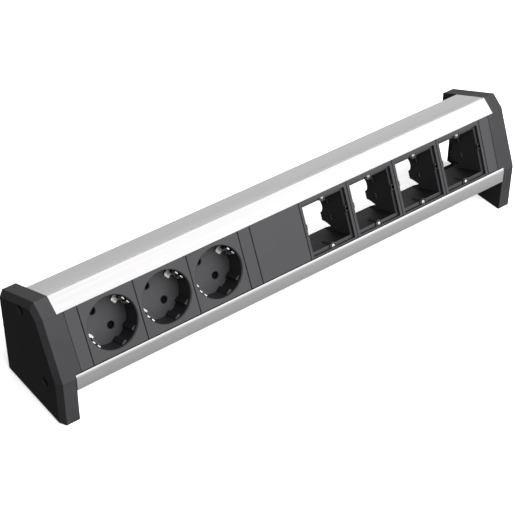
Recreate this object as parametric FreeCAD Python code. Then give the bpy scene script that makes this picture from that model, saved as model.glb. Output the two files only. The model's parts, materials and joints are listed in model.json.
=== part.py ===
import FreeCAD, Part
import math
import os

# Desk power strip: two moulded end caps stand on the desk and carry a top and a bottom aluminium
# profile. The panel between the profiles leans back and holds socket, blank and frame modules.
# Millimetres, +X along the strip, +Y to the back, +Z up. Origin: bottom centre of the whole strip.

V = FreeCAD.Vector

# ---- section of the strip ------------------------------------------------------------------
DEPTH = 75.8             # end cap, front to back
FRONT_H = 39.3           # height of the cap's upright front edge
PANEL_LEN = 50.0         # sloping front of the cap, along the slope
PANEL_TILT = 23.2        # the panel leans back from upright by this angle, and the top is square to it
FACET_LEN = 13.0         # bevel between the panel and the top
FACET_RISE = 37.8        # its angle above the level

# ---- end caps ------------------------------------------------------------------------------
CAP_T = 14.2             # thickness along the strip
CAP_BEVEL_X = 3.6        # bevel round the outer face, along the strip
CAP_BEVEL = 4.8          # the same bevel, measured in the outer face
CAP_EDGE_BEVEL = 1.5     # lighter bevel along the back and bottom edges
CAP_EDGE_R = 0.6         # rounding of the long outside corners
CAP_SKIN = 5.2           # left outside the hollow that is moulded into the inner side
CAP_RIB_T = 2.0
CAP_MOUTH_LEN = 19.8     # pocket in the inner side that lets cables out at the rear: its length
CAP_MOUTH_H = 35.0       # its top, above the cap's underside
CAP_MOUTH_FLOOR = 3.2    # left above the rear pad
CAP_MOUTH_SKIN = 2.6     # outer wall beside it
CAP_MOUTH_R = 3.0        # its rounded corner
CAP_TAB = 5.0            # tongue that reaches in between the two profiles
CAP_TAB_WALL = 2.4
CAP_TAB_DEPTH = 24.0
PAD_LEN = 16.0           # anti-slip pads let into the underside
PAD_W = 8.0
PAD_T = 1.6
PAD_PROUD = 0.6
PAD_FIT = 0.15

# ---- aluminium profiles --------------------------------------------------------------------
WALL = 2.0               # outer walls
LEG_T = 1.4              # legs that hold the modules
LEG_DEPTH = 29.0
LIP_DOWN = 1.3           # the top profile's front lip laps over the panel's upper edge
LIP_PROUD = 0.6          # the bottom profile stands this far in front of the panel and the caps
TOP_LEN = 33.0           # top face, front to back
TAIL_H = 5.0             # turned-down rear edge of the top face
GROOVE_AT = 1.2          # shallow shadow groove behind the top front edge
GROOVE_W = 1.3
GROOVE_DEEP = 0.5
SILL_BACK = 2.4          # upper edge of the bottom profile, measured up the panel
FRONT_FACE = 10.8        # height of the bottom profile's upright front face
WEB_T = 1.6
SNAP_AT = 8.0            # groove along both legs that the modules snap into
SNAP_W = 2.0
SNAP_DEEP = 0.6
SNAP_PLAY = 0.15
CHANNEL_WALL = 1.6       # round the channels that take the cap screws
TOP_CHANNEL_IN = 3.8     # channel's centre, from the inner end of the leg that carries it
TOP_CHANNEL_GAP = 0.35   # between the leg and the bore
BOTTOM_CHANNEL_IN = 7.3
BOTTOM_CHANNEL_GAP = 0.8

# ---- screws --------------------------------------------------------------------------------
CAP_SCREW_R = 1.9        # shank, through the cap into the profile's channel
CAP_SCREW_HEAD_R = 3.5
CAP_SCREW_HEAD_T = 2.2
CAP_SCREW_SUNK = 4.2     # depth of the recess round the head
CAP_SCREW_REACH = 12.0
CAP_DRIVE_R = 1.5        # recess for the driver
CAP_DRIVE_DEEP = 1.4
SMALL_SCREW_R = 1.3      # shank of the small screws
SMALL_HEAD_R = 2.3
SMALL_HEAD_T = 1.6
SCREW_PLAY = 0.1         # radial, round every shank
HEAD_PLAY = 0.7          # radial, round every sunk head
DRIVE_R = 0.9            # recess for the driver
DRIVE_DEEP = 0.9

# ---- module grid ---------------------------------------------------------------------------
MODULE = 45.0            # pitch along the strip
FILLER = 10.5
SOCKETS = 3
FRAMES = 4
JOINT_GAP = 0.35         # shadow gap between neighbours
EDGE_R = 0.5             # rounding round every module's face
SEAT_PLAY = 0.25         # modules to the profile's legs
PLATE_T = 2.5            # front plates
SKIRT_T = 1.6
SKIRT_DEPTH = 14.0

# ---- earthed socket ------------------------------------------------------------------------
RECESS_R = 19.5
RECESS_DEPTH = 17.3
RIM_BEVEL = 0.8
CUP_WALL = 1.5
FLOOR_T = 2.0
PIN_TURN = -55.0         # line through the two pin holes
PIN_REACH = 9.5          # pin hole from the centre: 19 mm between the pins
PIN_HOLE_R = 2.7
PIN_HOLE_DISH = 0.5
GUIDE_LONG = 2.4         # guide ribs at both ends of the pin line, from the wall inwards
GUIDE_AT = 6.2
GUIDE_W = 4.0
GUIDE_DOWN = 3.0         # their tops lie this far below the rim
WINDOW_W = 9.2           # window in the recess wall for an earth clip
WINDOW_TOP = 2.2

# ---- earth clip, bent from one strip -------------------------------------------------------
CLIP_T = 0.8
CLIP_W = 7.6
CLIP_SLOT_W = 2.4
CLIP_TOP = 3.0           # depth of the clip's free ends
CLIP_BEND = 8.0          # depth of the contact point
CLIP_BEND_R = 1.2
CLIP_ROOT = 13.5
CLIP_TOP_IN = 1.1        # free ends, inside the recess wall
CLIP_TOUCH_IN = 3.2      # contact point, inside the recess wall
CLIP_LEG_OUT = 0.6       # straight legs, outside the recess wall
CLIP_TOE_IN = 5.7        # tongue bent in over the recess floor, inside the recess wall
CLIP_TOE_W = 5.2
CLIP_TOE_GAP = 0.4       # from the floor
CLIP_PLAY = 0.5

# ---- parts behind the socket floor ---------------------------------------------------------
SHUTTER_GAP = 0.3
SHUTTER_T = 1.6
SHUTTER_HUB_R = 3.6
SHUTTER_TIP_R = 3.3
SHUTTER_BAR_W = 3.0
PIVOT_R = 1.5
PIVOT_PLAY = 0.05
SPRING_WIRE_R = 0.3
SPRING_COIL_R = 2.6
SPRING_TURNS = 3
SPRING_WELL_R = 3.6
CARRIER_T = 2.5
CARRIER_PLAY = 0.2
SPACER_R = 1.8           # posts that hold the carrier off the recess floor
SPACER_IN = 3.0          # from the carrier's edges
SPACER_GAP = 0.1
HOUSING_SIDE = 1.0       # rear housing inside the module's sides
HOUSING_END = 1.5        # and inside its top and bottom
HOUSING_WALL = 1.8
HOUSING_BACK = 41.0      # depth of its rear face
LEDGE_W = 3.0            # ledges inside the housing that the carrier rests on
LEDGE_REACH = 1.0
CORNER_IN = 3.3          # corner screws, from the housing's sides
CORNER_BOSS_R = 2.6
SCREW_ENTRY = 8.0        # length of thread in the front part

# ---- contact strips ------------------------------------------------------------------------
BAR_T = 0.8
BAR_W = 5.6
MAINS_BAR_GAP = 3.2      # from the two current-carrying bars to the housing's back wall
LEAF_T = 0.5
LEAF_W = 4.6
LEAF_GAP = 2.25          # half the gap between a pair of leaves
LEAF_BELOW = 2.5         # from the carrier to the tips of the leaves
BAR_SLOT_PLAY = 0.4
BAR_START = 4.0          # the bars begin this far left of the first pin

# ---- junction box and power inlet ----------------------------------------------------------
BOX_WALL = 1.8
BOX_MARGIN = 1.7         # box edge inside the module's edge
BOX_FRONT = SKIRT_DEPTH + 0.3
INLET_L = 27.5           # shell of the appliance inlet, up the panel
INLET_W = 20.0
INLET_WALL = 1.7
INLET_FLANGE = 3.2
INLET_FLANGE_T = 2.0
INLET_REACH = 15.0       # shell behind the box
INLET_NECK = 4.0
INLET_PLAY = 0.15
INLET_CORNER = 4.5
INLET_PIN_W = 4.0
INLET_PIN_T = 2.0
INLET_PIN_PLAY = 0.05
INLET_PIN_TIP = 0.5      # chamfer
INLET_PIN_SHORT = 3.0    # pins end this far inside the mouth
CROSS_RIB_W = 1.2        # raised ribs on the backs of the boxes
CROSS_RIB_H = 0.8

# ---- open module frames --------------------------------------------------------------------
FRAME_DROP = 1.08        # the opening's centre lies below the socket's centre line
SLEEVE = 36.4            # square opening
POCKET_SIDE = 1.7        # recessed ledge round the opening, at the sides
POCKET_END = 2.5         # and at the top and bottom
POCKET_DEPTH = 3.0
SLEEVE_WALL = 1.6
SLEEVE_BACK = 37.5
LEDGE_T = 1.6
BOSS_R = 3.0
BOSS_FRONT = 1.7
BOSS_BACK = 13.0
BOSS_OUT = 1.55          # screw bosses above and below the opening, from its edge
BOSS_SINK_R = 2.35
BOSS_SINK = 0.9
FRAME_HEAD_R = 1.75
FRAME_HEAD_T = 1.3
FRAME_SCREW_LEN = 9.0
SIDE_BOSS_OUT = 1.5      # empty fixing holes at the sides, from the opening's edge
SIDE_BOSS_S = 3.0
SIDE_BOSS_R = 2.5
SIDE_HOLE_R = 1.25
SIDE_HOLE_DEEP = 7.0
LATCH_S = 6.4            # rounded latch ridges on the side walls
LATCH_D = 24.0
LATCH_L = 5.6
LATCH_R = 0.9
NOTCH_MOUTH = 6.8        # tapering slits in the rear corners of the side walls
NOTCH_TIP = 3.2          # from the bottom wall to the slit's tip
NOTCH_DEEP = 10.4
NOTCH_SHOULDER = 4.3     # depth at which the slit widens
SCALLOP_R = 6.5          # rounded finger cut in the rear edge of the side walls
SCALLOP_OUT = 2.0        # its centre, behind the edge
SCALLOP_UP = 1.2         # and above the opening's centre

# ---- values worked out from the above ------------------------------------------------------
TILT = math.radians(PANEL_TILT)
UP = (math.sin(TILT), math.cos(TILT))
IN = (math.cos(TILT), -math.sin(TILT))
RISE = math.radians(FACET_RISE)
BODY_LEN = 2 * CAP_TAB + 3 * FILLER + (SOCKETS + 1 + FRAMES) * MODULE
Y_MID = (DEPTH - LIP_PROUD) / 2
FRONT_BOTTOM = FRONT_H - FRONT_FACE
LIP_ANGLE = math.pi / 2 - TILT - RISE
TOP_SEAT = PANEL_LEN - LIP_DOWN * math.cos(LIP_ANGLE)
MODULE_LOW = SILL_BACK + SEAT_PLAY
MODULE_HIGH = TOP_SEAT - SEAT_PLAY
SOCKET_S = (MODULE_LOW + MODULE_HIGH) / 2
CHANNEL_R = CAP_SCREW_R + SCREW_PLAY
TOP_CHANNEL = (TOP_SEAT + LEG_T + TOP_CHANNEL_GAP + CHANNEL_R, LEG_DEPTH - TOP_CHANNEL_IN)
BOTTOM_CHANNEL = (SILL_BACK - LEG_T - BOTTOM_CHANNEL_GAP - CHANNEL_R, LEG_DEPTH - BOTTOM_CHANNEL_IN)
CLIP_TOP_R = RECESS_R - CLIP_TOP_IN
CLIP_TOUCH_R = RECESS_R - CLIP_TOUCH_IN
CLIP_LEG_R = RECESS_R + CLIP_LEG_OUT
HALF_W = MODULE / 2 - HOUSING_SIDE
HALF_H = (MODULE_HIGH - MODULE_LOW) / 2 - HOUSING_END
FLOOR_BACK = RECESS_DEPTH + FLOOR_T
CARRIER_FRONT = FLOOR_BACK + 2 * SHUTTER_GAP + SHUTTER_T
CARRIER_BACK = CARRIER_FRONT + CARRIER_T
EARTH_BAR_AT = CARRIER_BACK + SHUTTER_GAP + CLIP_T
MAINS_BAR_AT = HOUSING_BACK - HOUSING_WALL - MAINS_BAR_GAP
LEAF_TOP = CARRIER_BACK + LEAF_BELOW
PIN_ANGLE = math.radians(PIN_TURN)
FRAME_S = SOCKET_S - FRAME_DROP
SOCKET_X = [-BODY_LEN / 2 + CAP_TAB + FILLER + MODULE * (i + 0.5) for i in range(SOCKETS)]
MIDDLE_X = SOCKET_X[-1] + MODULE / 2
BLANK_X = MIDDLE_X + FILLER + MODULE / 2
FRAME_X = [BLANK_X + MODULE * (i + 1) for i in range(FRAMES)]
BOX_LEFT = MIDDLE_X + JOINT_GAP / 2
BOX_RIGHT = BLANK_X + MODULE / 2 - BOX_MARGIN
BOX_LOW = SOCKET_S - HALF_H
BOX_HIGH = SOCKET_S + HALF_H


# ---- helpers -------------------------------------------------------------------------------
def on_panel(s, d):
    """Point of the section from its distance up the panel and behind the panel's plane."""
    return (s * UP[0] + d * IN[0], FRONT_H + s * UP[1] + d * IN[1])


def world(shape):
    """Turns a piece modelled on the flat panel (X, up the panel, outwards) into the strip's frame."""
    placed = shape.copy()
    placed.rotate(V(0, 0, 0), V(1, 0, 0), 90 - PANEL_TILT)
    placed.translate(V(0, -Y_MID, FRONT_H + PAD_PROUD))
    return placed


def section_wire(points, x):
    """Closed outline of (y, z) points as a wire at one place along the strip."""
    corners = [V(x, y - Y_MID, z + PAD_PROUD) for y, z in points]
    return Part.makePolygon(corners + corners[:1])


def extrude_section(points, x0, x1):
    """Prism along the strip from a closed outline of (y, z) points."""
    return Part.Face(section_wire(points, x0)).extrude(V(x1 - x0, 0, 0))


def beside(point, inwards, upwards):
    """Point of the section moved square to the panel and along it."""
    return (point[0] + inwards * IN[0] + upwards * UP[0], point[1] + inwards * IN[1] + upwards * UP[1])


def bar_along(s, d, x0, x1, r):
    """Round bar along the strip through a point of the section."""
    y, z = on_panel(s, d)
    return Part.makeCylinder(r, x1 - x0, V(x0, y - Y_MID, z + PAD_PROUD), V(1, 0, 0))


def block(x0, x1, s0, s1, d0, d1):
    """Box on the panel: along the strip, up the panel, and from d0 to d1 behind its plane."""
    return Part.makeBox(x1 - x0, s1 - s0, d1 - d0, V(x0, s0, -d1))


def rod(x, s, d0, d1, r):
    """Cylinder square to the panel."""
    return Part.makeCylinder(r, d1 - d0, V(x, s, -d1))


def cone(x, s, d0, d1, r0, r1):
    """Cone square to the panel, r0 at depth d0 and r1 at depth d1."""
    return Part.makeCone(r1, r0, d1 - d0, V(x, s, -d1))


def turned(shape, x):
    """Turns a piece modelled about the origin so that its X lies along the pin line, at socket x."""
    placed = shape.copy()
    placed.rotate(V(0, 0, 0), V(0, 0, 1), PIN_TURN)
    placed.translate(V(x, SOCKET_S, 0))
    return placed


def union(shapes):
    first = shapes[0]
    return first.fuse(shapes[1:]).removeSplitter() if len(shapes) > 1 else first


def mirrored(shape):
    return shape.mirror(V(0, 0, 0), V(1, 0, 0))


def save(name, shape):
    assert shape.isValid(), name
    shape.exportStep("parts/" + name + ".step")


# ---- end caps ------------------------------------------------------------------------------
def cap_outline():
    """Front bottom, front edge, panel top, top front, top back, back bottom."""
    panel_top = on_panel(PANEL_LEN, 0)
    top_front = (panel_top[0] + FACET_LEN * math.cos(RISE), panel_top[1] + FACET_LEN * math.sin(RISE))
    back_z = top_front[1] - (DEPTH - top_front[0]) * math.tan(TILT)
    return [(0, 0), (0, FRONT_H), panel_top, top_front, (DEPTH, back_z), (DEPTH, 0)]


def inset(points, amounts):
    """Moves each side of a closed clockwise outline inwards by its own amount."""
    lines = []
    for i, (y0, z0) in enumerate(points):
        y1, z1 = points[(i + 1) % len(points)]
        run = math.hypot(y1 - y0, z1 - z0)
        ty, tz = (y1 - y0) / run, (z1 - z0) / run
        lines.append((y0 + tz * amounts[i], z0 - ty * amounts[i], ty, tz))
    corners = []
    for i in range(len(points)):
        ya, za, ta, ua = lines[i - 1]
        yb, zb, tb, ub = lines[i]
        along = ((yb - ya) * ub - (zb - za) * tb) / (ta * ub - ua * tb)
        corners.append((ya + along * ta, za + along * ua))
    return corners


def cap_mouth():
    """Space of the cap's rear pocket, open to the inside, the rear and, behind the pad, downwards."""
    inner = BODY_LEN / 2 - 1
    run = CAP_T + 1 - CAP_MOUTH_SKIN
    start = DEPTH - CAP_MOUTH_LEN - Y_MID
    behind_pad = pad_places()[1] + PAD_LEN / 2 + PAD_FIT + 1 - Y_MID
    height = CAP_MOUTH_H - CAP_MOUTH_FLOOR
    pocket = Part.makeBox(run, CAP_MOUTH_LEN + 1, height, V(inner, start, PAD_PROUD + CAP_MOUTH_FLOOR))
    top_front = V(inner + run / 2, start, PAD_PROUD + CAP_MOUTH_H)
    corner = [e for e in pocket.Edges if (e.CenterOfMass - top_front).Length < 0.01]
    below = Part.makeBox(run, DEPTH, height, V(inner, behind_pad, -1))
    return union([pocket.makeFillet(CAP_MOUTH_R, corner), below])


def end_cap():
    """Right-hand cap: inner plane at the end of the profiles, outer face bevelled all round."""
    inner = BODY_LEN / 2
    rim = inner + CAP_T - CAP_BEVEL_X
    outline = cap_outline()
    bevels = [CAP_BEVEL, CAP_BEVEL, CAP_BEVEL, CAP_BEVEL, CAP_EDGE_BEVEL, CAP_EDGE_BEVEL]
    outer = inner + CAP_T
    wires = [section_wire(outline, rim), section_wire(inset(outline, bevels), outer)]
    body = union([extrude_section(outline, inner, rim), Part.makeLoft(wires, True, True)])
    long_edges = [e for e in body.Edges if abs(e.BoundBox.XLength - (rim - inner)) < 0.01]
    body = body.makeFillet(CAP_EDGE_R, long_edges)

    deep = outer - CAP_SKIN
    core = block(inner - 1, deep, MODULE_LOW + 1, MODULE_HIGH - 1, WALL + 2, HOUSING_BACK)
    for s in (SOCKET_S - HALF_H / 3, SOCKET_S + HALF_H / 3):
        core = core.cut(block(inner - 1, deep, s - CAP_RIB_T / 2, s + CAP_RIB_T / 2, 0, DEPTH))
    body = body.cut(world(core)).cut(cap_mouth())

    tab = block(inner - CAP_TAB, inner + 1, MODULE_LOW, MODULE_HIGH, 0, CAP_TAB_DEPTH)
    hollow = block(inner - CAP_TAB - 1, inner + 1, MODULE_LOW + CAP_TAB_WALL, MODULE_HIGH - CAP_TAB_WALL,
                   CAP_TAB_WALL, CAP_TAB_DEPTH + 1)
    tab = tab.cut(hollow)
    body = union([body, world(tab)])

    for s, d in (TOP_CHANNEL, BOTTOM_CHANNEL):
        body = body.cut(bar_along(s, d, inner - 1, outer + 1, CHANNEL_R))
        body = body.cut(bar_along(s, d, outer - CAP_SCREW_SUNK, outer + 1, CAP_SCREW_HEAD_R + HEAD_PLAY))
    for pad in pad_places():
        body = body.cut(pad_solid(pad, PAD_FIT, PAD_T - PAD_PROUD))
    return body


def pad_places():
    """Front and rear pad on the cap's underside, by their distance from the front."""
    return (CAP_EDGE_BEVEL + PAD_LEN, DEPTH - CAP_EDGE_BEVEL - PAD_LEN)


def pad_solid(y, extra, height):
    """Rounded pad of the right-hand cap, from the desk up to a height above the cap's underside."""
    x = BODY_LEN / 2 + (CAP_T - CAP_EDGE_BEVEL) / 2
    half = PAD_LEN / 2 - PAD_W / 2
    r = PAD_W / 2 + extra
    z1 = PAD_PROUD + height
    middle = Part.makeBox(2 * r, 2 * half, z1, V(x - r, y - Y_MID - half, 0))
    ends = [Part.makeCylinder(r, z1, V(x, y - Y_MID + side * half, 0)) for side in (-1, 1)]
    return union([middle] + ends)


def foot_pads():
    pads = [pad_solid(y, 0, PAD_T - PAD_PROUD) for y in pad_places()]
    return Part.makeCompound(pads + [mirrored(p) for p in pads])


def cap_screw(s, d):
    """Pan head sunk in the cap's outer face, shank in the profile's channel."""
    seat = BODY_LEN / 2 + CAP_T - CAP_SCREW_SUNK
    shank = bar_along(s, d, BODY_LEN / 2 - CAP_SCREW_REACH, seat, CAP_SCREW_R)
    crown = seat + CAP_SCREW_HEAD_T
    head = bar_along(s, d, seat, crown, CAP_SCREW_HEAD_R)
    rim = [e for e in head.Edges if abs(e.CenterOfMass.x - crown) < 0.01]
    head = head.makeFillet(CAP_SCREW_HEAD_T * 0.4, rim)
    drive = bar_along(s, d, crown - CAP_DRIVE_DEEP, crown + 1, CAP_DRIVE_R)
    return union([shank, head]).cut(drive)


def end_cap_screws():
    right = [cap_screw(s, d) for s, d in (TOP_CHANNEL, BOTTOM_CHANNEL)]
    return Part.makeCompound(right + [mirrored(p) for p in right])


# ---- profiles ------------------------------------------------------------------------------
def channel(body, s, d):
    """Adds a round channel along the profile for the cap screws."""
    x = BODY_LEN / 2
    tube = bar_along(s, d, -x, x, CHANNEL_R + CHANNEL_WALL)
    return union([body, tube]).cut(bar_along(s, d, -x - 1, x + 1, CHANNEL_R))


def leg(s_low, groove_low):
    """Flat leg that reaches in from the panel, with the groove that the modules snap into."""
    x = BODY_LEN / 2
    plate = block(-x, x, s_low, s_low + LEG_T, LIP_PROUD, LEG_DEPTH)
    return plate.cut(block(-x - 1, x + 1, groove_low, groove_low + SNAP_DEEP, SNAP_AT, SNAP_AT + SNAP_W))


def top_profile():
    x = BODY_LEN / 2
    panel_top, front = cap_outline()[2:4]
    lip = (panel_top[0] - LIP_DOWN * math.cos(RISE), panel_top[1] - LIP_DOWN * math.sin(RISE))
    lip_in = beside(lip, WALL / math.cos(LIP_ANGLE), 0)
    inner = beside(front, WALL * math.tan((TILT + RISE) / 2), -WALL)
    back = beside(front, TOP_LEN, 0)
    turn = beside(back, -WALL, -WALL)
    tail = beside(back, 0, -TAIL_H)
    tail_in = beside(back, -WALL, -TAIL_H)
    shell = extrude_section([lip, front, back, tail, tail_in, turn, inner, lip_in], -x, x)
    body = union([shell, world(leg(TOP_SEAT, TOP_SEAT))])
    body = channel(body, *TOP_CHANNEL)
    near, far = GROOVE_AT, GROOVE_AT + GROOVE_W
    corners = ((near, -GROOVE_DEEP), (near, 1), (far, 1), (far, -GROOVE_DEEP))
    groove = [beside(front, *corner) for corner in corners]
    return body.cut(extrude_section(groove, -x - 1, x + 1))


def bottom_profile():
    x = BODY_LEN / 2
    sill = on_panel(SILL_BACK, -LIP_PROUD)
    sill_in = on_panel(SILL_BACK, LIP_PROUD + WALL)
    corner = (-LIP_PROUD, FRONT_H)
    foot = (-LIP_PROUD, FRONT_BOTTOM)
    web_end = (on_panel(*BOTTOM_CHANNEL)[0] - CHANNEL_R, FRONT_BOTTOM)
    web_top = (web_end[0], FRONT_BOTTOM + WEB_T)
    foot_in = (WALL - LIP_PROUD, FRONT_BOTTOM + WEB_T)
    rise_in = (WALL - LIP_PROUD, FRONT_H - WALL / 2)
    shell = extrude_section([sill, sill_in, rise_in, foot_in, web_top, web_end, foot, corner], -x, x)
    low = SILL_BACK - LEG_T
    body = union([shell, world(leg(low, SILL_BACK - SNAP_DEEP))])
    return channel(body, *BOTTOM_CHANNEL)


# ---- pieces that every module shares -------------------------------------------------------
def snap_ridges(x0, x1):
    """Ridges on a module's top and bottom that snap into the profile's grooves."""
    reach = SEAT_PLAY + SNAP_DEEP - SNAP_PLAY
    d0 = SNAP_AT + SNAP_PLAY
    d1 = SNAP_AT + SNAP_W - SNAP_PLAY
    return [block(x0, x1, MODULE_LOW - reach, MODULE_LOW + 0.5, d0, d1),
            block(x0, x1, MODULE_HIGH - 0.5, MODULE_HIGH + reach, d0, d1)]


def module_shell(x, width, depth):
    """Front plate with a skirt behind it, centred on x."""
    half = width / 2 - JOINT_GAP / 2
    outer = block(x - half, x + half, MODULE_LOW, MODULE_HIGH, 0, depth)
    front = [e for e in outer.Edges if abs(e.CenterOfMass.z) < 0.01]
    outer = outer.makeFillet(EDGE_R, front)
    hollow = block(x - half + SKIRT_T, x + half - SKIRT_T, MODULE_LOW + SKIRT_T, MODULE_HIGH - SKIRT_T,
                   PLATE_T, depth + 1)
    third = width / 3
    ridges = snap_ridges(x - third / 2, x + third / 2)
    return union([outer.cut(hollow)] + ridges)


def filler(x):
    return module_shell(x, FILLER, SKIRT_DEPTH)


def screw(x, s, seat, tip, head_r, head_t, towards_front):
    """Small pan-head screw square to the panel; its head sits on the seat depth."""
    shank = rod(x, s, min(seat, tip), max(seat, tip), SMALL_SCREW_R)
    head_far = seat - head_t if towards_front else seat + head_t
    head = rod(x, s, min(seat, head_far), max(seat, head_far), head_r)
    rim = [e for e in head.Edges if abs(e.CenterOfMass.z + head_far) < 0.01]
    head = head.makeFillet(head_t * 0.45, rim)
    bite = DRIVE_DEEP if towards_front else -DRIVE_DEEP
    over = -1 if towards_front else 1
    ends = sorted((head_far + bite, head_far + over))
    drive = rod(x, s, ends[0], ends[1], DRIVE_R)
    return union([shank, head]).cut(drive)


def corner_places(x):
    """The two opposite corners that take the housing's screws."""
    dx, ds = HALF_W - CORNER_IN, HALF_H - CORNER_IN
    return ((x - dx, SOCKET_S - ds), (x + dx, SOCKET_S + ds))


# ---- socket --------------------------------------------------------------------------------
def guide_ribs():
    ribs = []
    for side in (-1, 1):
        for at in (-GUIDE_AT, GUIDE_AT):
            near, far = sorted((side * (RECESS_R - GUIDE_LONG), side * (RECESS_R + CUP_WALL / 2)))
            ribs.append(block(near, far, at - GUIDE_W / 2, at + GUIDE_W / 2, GUIDE_DOWN, FLOOR_BACK))
    cup = rod(0, 0, 0, FLOOR_BACK, RECESS_R + CUP_WALL / 2)
    return [rib.common(cup) for rib in ribs]


def socket_cover(x):
    """Front plate, skirt and recess of one socket in a single moulding."""
    shell = module_shell(x, MODULE, FLOOR_BACK)
    cup = rod(x, SOCKET_S, 0, FLOOR_BACK, RECESS_R + CUP_WALL)
    bosses = [rod(bx, bs, 0.5, FLOOR_BACK, CORNER_BOSS_R) for bx, bs in corner_places(x)]
    half = MODULE / 2 - JOINT_GAP / 2
    edge = block(x - half, x + half, MODULE_LOW, MODULE_HIGH, EDGE_R, FLOOR_BACK)
    body = union([shell] + [piece.common(edge) for piece in [cup] + bosses])
    body = body.cut(rod(x, SOCKET_S, -1, RECESS_DEPTH, RECESS_R))
    body = body.cut(cone(x, SOCKET_S, -0.001, RIM_BEVEL, RECESS_R + RIM_BEVEL, RECESS_R))
    body = union([body] + [turned(rib, x) for rib in guide_ribs()])
    for side in (-1, 1):
        hole = rod(side * PIN_REACH, 0, RECESS_DEPTH - 1, FLOOR_BACK + 1, PIN_HOLE_R)
        dish = cone(side * PIN_REACH, 0, RECESS_DEPTH - 0.001, RECESS_DEPTH + PIN_HOLE_DISH,
                    PIN_HOLE_R + PIN_HOLE_DISH, PIN_HOLE_R)
        near, far = sorted((side * (RECESS_R - 1), side * (CLIP_LEG_R + CLIP_T / 2 + CLIP_PLAY)))
        window = block(-WINDOW_W / 2, WINDOW_W / 2, near, far, WINDOW_TOP, FLOOR_BACK + 1)
        body = body.cut([turned(tool, x) for tool in (hole, dish, window)])
    for bx, bs in corner_places(x):
        entry = FLOOR_BACK - SCREW_ENTRY
        body = body.cut(rod(bx, bs, entry, FLOOR_BACK + 1, SMALL_SCREW_R + SCREW_PLAY))
    return body


def clip_half():
    """One end of the earth clip: a straight leg that bends in to the contact point and out again."""
    t = CLIP_T / 2
    path = [(CLIP_TOP_R, CLIP_TOP), (CLIP_TOUCH_R, CLIP_BEND), (CLIP_LEG_R, CLIP_ROOT),
            (CLIP_LEG_R, EARTH_BAR_AT - t)]
    outer = [V(-CLIP_W / 2, r + t, -d) for r, d in path]
    inner = [V(-CLIP_W / 2, r - t, -d) for r, d in reversed(path)]
    bend = Part.Face(Part.makePolygon(outer + inner + outer[:1])).extrude(V(CLIP_W, 0, 0))
    across = [e for e in bend.Edges if abs(e.BoundBox.XLength - CLIP_W) < 0.01]
    touch = [e for e in across if abs(e.CenterOfMass.z + CLIP_BEND) < 0.1]
    bend = bend.makeFillet(CLIP_BEND_R, touch)
    slot = block(-CLIP_SLOT_W / 2, CLIP_SLOT_W / 2, 0, CLIP_LEG_R + 2, CLIP_TOP - 1, CLIP_ROOT - 2)
    toe_back = RECESS_DEPTH - CLIP_TOE_GAP
    half = CLIP_TOE_W / 2
    toe = block(-half, half, RECESS_R - CLIP_TOE_IN, CLIP_LEG_R, toe_back - CLIP_T, toe_back)
    corners = [e for e in toe.Edges if abs(e.CenterOfMass.y - RECESS_R + CLIP_TOE_IN) < 0.01]
    corners = [e for e in corners if abs(e.BoundBox.ZLength - CLIP_T) < 0.01]
    return union([bend.cut(slot), toe.makeFillet(CLIP_BEND_R, corners)])


def earth_clip(x):
    half = clip_half()
    strap = block(-CLIP_W / 2, CLIP_W / 2, -CLIP_LEG_R - CLIP_T / 2, CLIP_LEG_R + CLIP_T / 2,
                  EARTH_BAR_AT - CLIP_T, EARTH_BAR_AT)
    return turned(union([strap, half, half.mirror(V(0, 0, 0), V(0, 1, 0))]), x)


def shutter(x):
    """Turning shutter: two discs on a bar cover both pin holes until both pins push it aside."""
    d0 = FLOOR_BACK + SHUTTER_GAP
    d1 = d0 + SHUTTER_T
    hub = rod(0, 0, d0, d1, SHUTTER_HUB_R)
    bar = block(-PIN_REACH, PIN_REACH, -SHUTTER_BAR_W / 2, SHUTTER_BAR_W / 2, d0, d1)
    tips = [rod(side * PIN_REACH, 0, d0, d1, SHUTTER_TIP_R) for side in (-1, 1)]
    body = union([hub, bar] + tips)
    return turned(body.cut(rod(0, 0, d0 - 1, d1 + 1, PIVOT_R + PIVOT_PLAY)), x)


def spring_outline(d_front):
    """Scalloped section of a close-wound coil, revolved about the socket's axis."""
    pitch = 2 * SPRING_WIRE_R
    neck = SPRING_WIRE_R * 0.35
    low = -d_front - SPRING_TURNS * pitch
    edges = []
    for side in (-1, 1):
        crest = SPRING_COIL_R + side * SPRING_WIRE_R
        root = crest - side * neck
        for i in range(SPRING_TURNS):
            z = -d_front - i * pitch
            turn = Part.Arc(V(root, 0, z), V(crest, 0, z - pitch / 2), V(root, 0, z - pitch))
            edges.append(turn.toShape())
    reach = SPRING_WIRE_R - neck
    for z in (-d_front, low):
        edges.append(Part.makeLine(V(SPRING_COIL_R - reach, 0, z), V(SPRING_COIL_R + reach, 0, z)))
    return Part.Face(Part.Wire(Part.__sortEdges__(edges)))


def shutter_spring(x):
    """Torsion coil round the pivot, between the shutter and the carrier."""
    d_front = FLOOR_BACK + SHUTTER_GAP + SHUTTER_T + SHUTTER_GAP / 2
    coil = spring_outline(d_front).revolve(V(0, 0, 0), V(0, 0, 1), 360)
    return turned(coil, x)


def clip_slots():
    """Slots in the carrier for the earth clip's legs."""
    half = CLIP_W / 2 + CLIP_PLAY
    reach = CLIP_T / 2 + CLIP_PLAY
    near, far = CLIP_LEG_R - reach, CLIP_LEG_R + reach
    slot = block(-half, half, near, far, CARRIER_FRONT - 1, CARRIER_BACK + 1)
    return [slot, slot.mirror(V(0, 0, 0), V(0, 1, 0))]


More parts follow.
